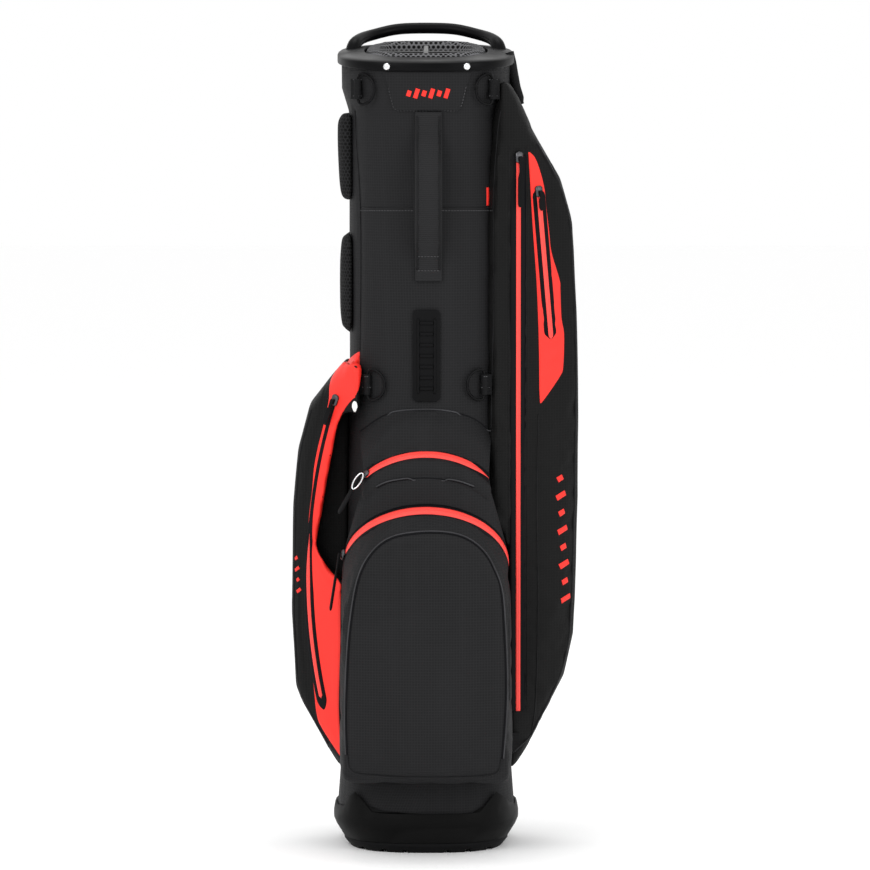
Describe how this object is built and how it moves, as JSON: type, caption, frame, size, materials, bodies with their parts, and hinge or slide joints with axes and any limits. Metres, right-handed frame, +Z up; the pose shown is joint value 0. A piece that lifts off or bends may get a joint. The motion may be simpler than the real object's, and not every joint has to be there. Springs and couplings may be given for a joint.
{
  "type": "golf stand bag",
  "caption": "Upright golf carry bag: padded four-way mouth, moulded collar, lift handle and base, zipped fabric pockets, D-rings and two folding legs worked by a hinged foot plate.",
  "frame": {"origin": "centre of the bag's oval plan, on the underside of the sole", "axes": "+Z up along the bag, -Y towards the ball pocket, +Y towards the stowed legs, +X towards the long side pocket"},
  "size_m": [0.3025, 0.2839, 0.868],
  "materials": {
    "body_fabric": "ripstop weave, matt",
    "pocket_fabric": "ripstop weave, matt",
    "padding": "padded mesh, matt",
    "air_mesh": "3D air mesh, matt",
    "webbing": "woven webbing",
    "moulded_plastic": "satin moulding",
    "divider_fabric": "lining cloth on a thin board",
    "rubber": "matt rubber",
    "chrome": "polished",
    "spring_steel": "drawn wire",
    "leg_aluminium": "dark anodised",
    "glass_fibre": "pultruded rod",
    "zip_metal": "dark plated",
    "pull_rubber": "moulded pull"
  },
  "bodies": {
    "bag": {"body_shell": "body_fabric", "ball_pocket": "body_fabric", "upper_pocket": "body_fabric", "right_pocket": "pocket_fabric", "left_pocket": "pocket_fabric", "hip_pad_upper": "padding", "hip_pad_lower": "padding", "cuff_padding": "air_mesh", "badge_flap": "webbing", "grab_handle": "webbing", "umbrella_tab": "webbing", "webbing_tab": "webbing", "d_tab_upper_left": "webbing", "d_tab_upper_right": "webbing", "d_tab_lower_left": "webbing", "d_tab_lower_right": "webbing", "top_collar": "moulded_plastic", "lift_handle": "moulded_plastic", "top_divider": "moulded_plastic", "base_boot": "moulded_plastic", "leg_bracket": "moulded_plastic", "divider_panel_wide": "divider_fabric", "divider_panel_front": "divider_fabric", "divider_panel_rear": "divider_fabric", "base_sole": "rubber", "grip_patch": "rubber", "collar_rivet_left": "chrome", "collar_rivet_right": "chrome", "foot_pin": "spring_steel", "leg_pin_left": "spring_steel", "leg_pin_right": "spring_steel", "stay_left": "glass_fibre", "stay_right": "glass_fibre"},
    "leg_left": {"leg_knuckle_left": "moulded_plastic", "leg_tube_left": "leg_aluminium", "leg_foot_left": "rubber", "leg_clip_left": "moulded_plastic"},
    "rod_left": {"rod_left": "spring_steel"},
    "leg_right": {"leg_knuckle_right": "moulded_plastic", "leg_tube_right": "leg_aluminium", "leg_foot_right": "rubber", "leg_clip_right": "moulded_plastic"},
    "rod_right": {"rod_right": "spring_steel"},
    "stand_foot": {"stand_foot": "rubber"},
    "d_ring_upper_left": {"d_ring_upper_left": "spring_steel"},
    "d_ring_upper_right": {"d_ring_upper_right": "moulded_plastic"},
    "d_ring_lower_left": {"d_ring_lower_left": "moulded_plastic"},
    "d_ring_lower_right": {"d_ring_lower_right": "moulded_plastic"},
    "zip_slider_ball": {"zip_slider_ball": "zip_metal"},
    "zip_pull_ball": {"zip_pull_ball": "pull_rubber"},
    "zip_slider_upper": {"zip_slider_upper": "zip_metal"},
    "zip_pull_upper": {"zip_pull_upper": "pull_rubber"},
    "zip_slider_right": {"zip_slider_right": "zip_metal"},
    "zip_pull_right": {"zip_pull_right": "pull_rubber"},
    "zip_slider_panel": {"zip_slider_panel": "zip_metal"},
    "zip_pull_panel": {"zip_pull_panel": "pull_rubber"},
    "zip_slider_left": {"zip_slider_left": "zip_metal"},
    "zip_pull_left": {"zip_pull_left": "pull_rubber"}
  },
  "joints": [
    {"name": "leg_hinge_left", "type": "hinge", "parent": "bag", "child": "leg_left", "pos_m": [-0.055, 0.11, 0.8], "axis": [0.9063, 0.4226, 0], "range_deg": [0, 35], "stiffness_Nm_per_rad": 0.8, "springref_deg": -20.05},
    {"name": "rod_hinge_left", "type": "hinge", "parent": "leg_left", "child": "rod_left", "pos_m": [-0.04322, 0.11549, 0.68], "axis": [0.9063, 0.4226, 0], "range_deg": [-41.5, 0]},
    {"name": "leg_hinge_right", "type": "hinge", "parent": "bag", "child": "leg_right", "pos_m": [0.055, 0.11, 0.8], "axis": [0.9063, -0.4226, 0], "range_deg": [0, 35]},
    {"name": "rod_hinge_right", "type": "hinge", "parent": "leg_right", "child": "rod_right", "pos_m": [0.04322, 0.11549, 0.68], "axis": [0.9063, -0.4226, 0], "range_deg": [-41.5, 0]},
    {"name": "foot_hinge", "type": "hinge", "parent": "bag", "child": "stand_foot", "pos_m": [0, 0.044, 0.015], "axis": [1, 0, 0], "range_deg": [0, 21.5]},
    {"name": "d_ring_hinge_upper_left", "type": "hinge", "parent": "bag", "child": "d_ring_upper_left", "pos_m": [-0.0709, -0.07765, 0.8], "axis": [0, 0, -1], "range_deg": [0, 90]},
    {"name": "d_ring_hinge_upper_right", "type": "hinge", "parent": "bag", "child": "d_ring_upper_right", "pos_m": [0.06949, -0.07914, 0.8], "axis": [0, 0, 1], "range_deg": [0, 90]},
    {"name": "d_ring_hinge_lower_left", "type": "hinge", "parent": "bag", "child": "d_ring_lower_left", "pos_m": [-0.06127, -0.07769, 0.492], "axis": [0, 0, -1], "range_deg": [0, 90]},
    {"name": "d_ring_hinge_lower_right", "type": "hinge", "parent": "bag", "child": "d_ring_lower_right", "pos_m": [0.06127, -0.07769, 0.492], "axis": [0, 0, 1], "range_deg": [0, 90]},
    {"name": "zip_slide_ball", "type": "hinge", "parent": "bag", "child": "zip_slider_ball", "pos_m": [0, -0.076, 0.301], "axis": [0, 0.7387, 0.674], "range_deg": [0, 156]},
    {"name": "zip_pull_hinge_ball", "type": "hinge", "parent": "zip_slider_ball", "child": "zip_pull_ball", "pos_m": [-0.09067, -0.08899, 0.31524], "axis": [-0.1391, 0.9901, 0.0174], "range_deg": [0, 75]},
    {"name": "zip_slide_upper", "type": "hinge", "parent": "bag", "child": "zip_slider_upper", "pos_m": [0, -0.0695, 0.353], "axis": [0, 0.8216, 0.57], "range_deg": [0, 96]},
    {"name": "zip_pull_hinge_upper", "type": "hinge", "parent": "zip_slider_upper", "child": "zip_pull_upper", "pos_m": [-0.06666, -0.10371, 0.40232], "axis": [-0.4731, 0.8805, -0.0287], "range_deg": [0, 75]},
    {"name": "zip_slide_right", "type": "slide", "parent": "bag", "child": "zip_slider_right", "axis": [0, 0, -1], "range_m": [0, 0.545]},
    {"name": "zip_pull_hinge_right", "type": "hinge", "parent": "zip_slider_right", "child": "zip_pull_right", "pos_m": [0.09915, -0.0761, 0.729], "axis": [-0.9043, -0.4268, 0], "range_deg": [0, 75]},
    {"name": "zip_slide_panel", "type": "slide", "parent": "bag", "child": "zip_slider_panel", "axis": [0.0869, 0.0478, -0.9951], "range_m": [0, 0.15]},
    {"name": "zip_pull_hinge_panel", "type": "hinge", "parent": "zip_slider_panel", "child": "zip_pull_panel", "pos_m": [0.12019, -0.06528, 0.693], "axis": [-0.8719, -0.4795, -0.0992], "range_deg": [0, 75]},
    {"name": "zip_slide_left", "type": "hinge", "parent": "bag", "child": "zip_slider_left", "pos_m": [0.25617, -0.34794, 0.2892], "axis": [-0.6247, -0.7809, 0], "range_deg": [0, 38]},
    {"name": "zip_pull_hinge_left", "type": "hinge", "parent": "zip_slider_left", "child": "zip_pull_left", "pos_m": [-0.09817, -0.0724, 0.47511], "axis": [-0.7214, 0.5771, 0.3827], "range_deg": [0, 75]}
  ],
  "couplings": [
    {"joint": "leg_hinge_right", "follows": "leg_hinge_left", "ratio": 1},
    {"joint": "rod_hinge_left", "follows": "leg_hinge_left", "ratio": -1.17},
    {"joint": "rod_hinge_right", "follows": "leg_hinge_left", "ratio": -1.17},
    {"joint": "foot_hinge", "follows": "leg_hinge_left", "ratio": 0.6}
  ]
}
